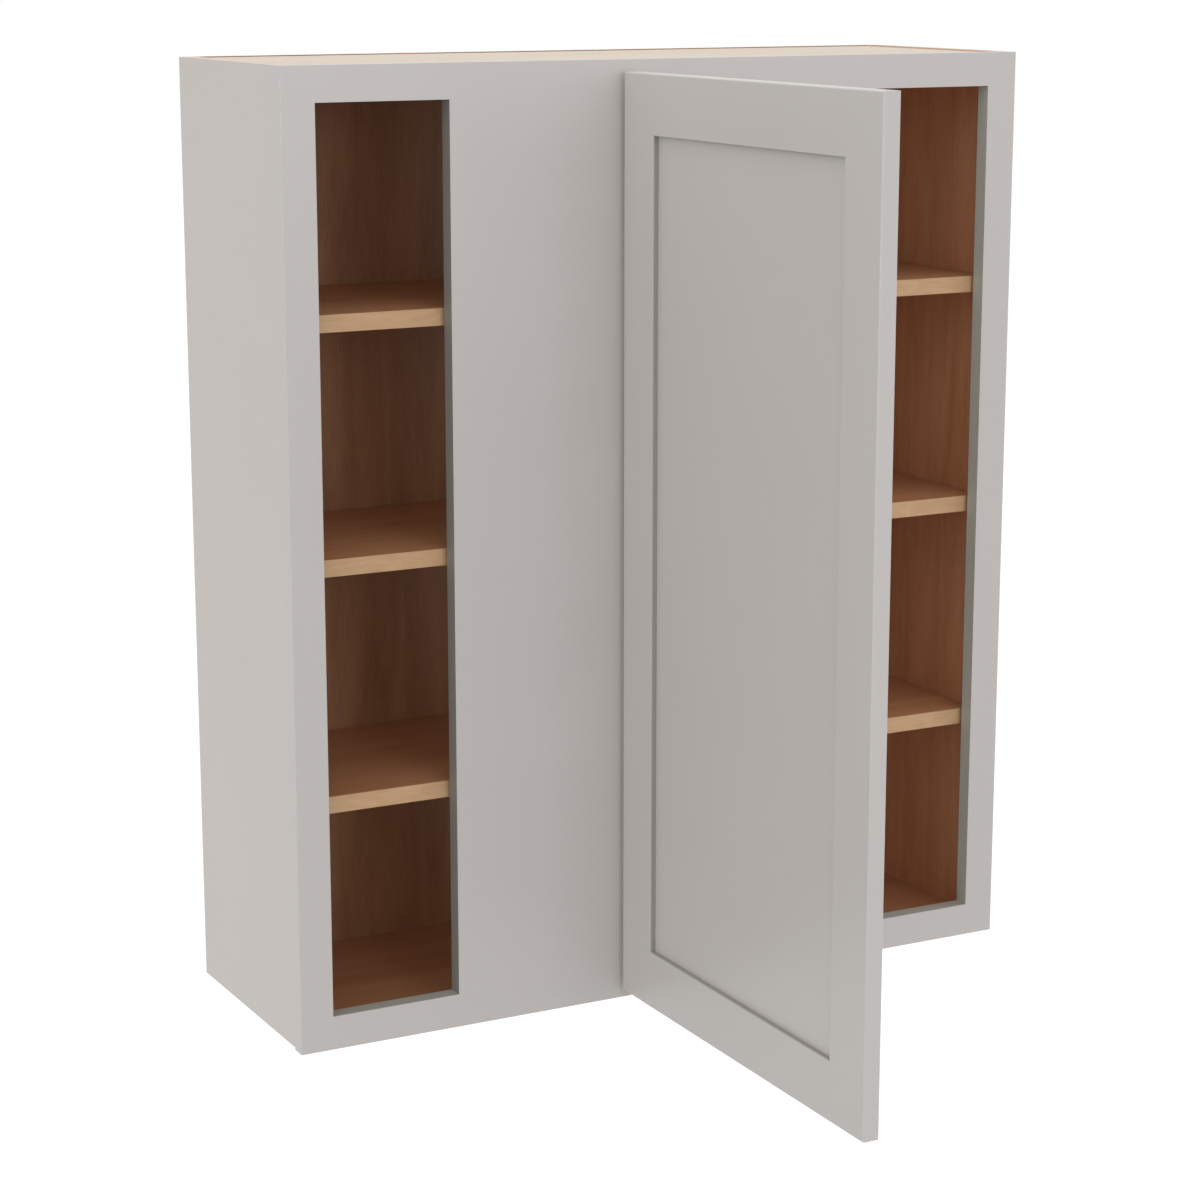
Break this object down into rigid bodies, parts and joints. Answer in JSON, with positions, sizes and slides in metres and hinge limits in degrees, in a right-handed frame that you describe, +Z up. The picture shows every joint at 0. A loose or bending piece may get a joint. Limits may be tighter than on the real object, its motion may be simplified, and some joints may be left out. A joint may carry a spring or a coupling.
{
  "type": "blind corner wall cabinet",
  "caption": "Tall wall cabinet for a blind corner: face frame with a wide hinge stile, open blind bay, shelves and a recessed-panel door that swings on concealed hinges.",
  "frame": {"origin": "centre of the middle wall-screw hole, where it meets the wall at the back panel's rear face", "axes": "+X to the viewer's right along the cabinet's width, +Y into the wall, +Z up; the face frame and door face -Y"},
  "size_m": [0.9144, 0.8138, 1.0668],
  "materials": {
    "frame_paint": "satin paint on hardwood",
    "door_paint": "satin paint on hardwood",
    "brown_veneer": "stained wood grain, matt lacquer",
    "maple": "light wood, clear lacquer",
    "edge_band": "light wood edge band, clear lacquer",
    "nickel_steel": "nickel plated pressed steel",
    "zinc_steel": "zinc plated steel",
    "rubber_ball": "soft dark rubber",
    "clear_pad": "soft translucent plastic"
  },
  "bodies": {
    "carcass": {"left_side_panel": "brown_veneer", "right_side_panel": "brown_veneer", "top_panel": "maple", "bottom_panel": "brown_veneer", "back_panel": "brown_veneer", "hanging_rail": "maple", "case_dowels": "maple", "frame_left_stile": "frame_paint", "frame_right_stile": "frame_paint", "frame_blind_stile": "frame_paint", "frame_top_rail": "frame_paint", "frame_bottom_rail": "frame_paint", "upper_shelf": "brown_veneer", "middle_shelf": "brown_veneer", "lower_shelf": "brown_veneer", "shelf_edge_bands": "edge_band", "shelf_pins": "zinc_steel", "upper_hinge_arm": "nickel_steel", "lower_hinge_arm": "nickel_steel", "upper_hinge_base": "nickel_steel", "lower_hinge_base": "nickel_steel", "base_screws": "zinc_steel", "clamp_screws": "zinc_steel"},
    "door": {"door_hinge_stile": "door_paint", "door_free_stile": "door_paint", "door_top_rail": "door_paint", "door_bottom_rail": "door_paint", "door_panel": "door_paint", "panel_spacers": "rubber_ball", "door_bumpers": "clear_pad", "upper_hinge_cup": "nickel_steel", "lower_hinge_cup": "nickel_steel", "hinge_springs": "zinc_steel", "hinge_pins": "zinc_steel", "cup_screws": "zinc_steel"}
  },
  "joints": [
    {"name": "door_swing", "type": "hinge", "parent": "carcass", "child": "door", "pos_m": [-0.05727, -0.31202, -0.4999], "axis": [0, 0, 1], "range_deg": [-10, 90]}
  ]
}
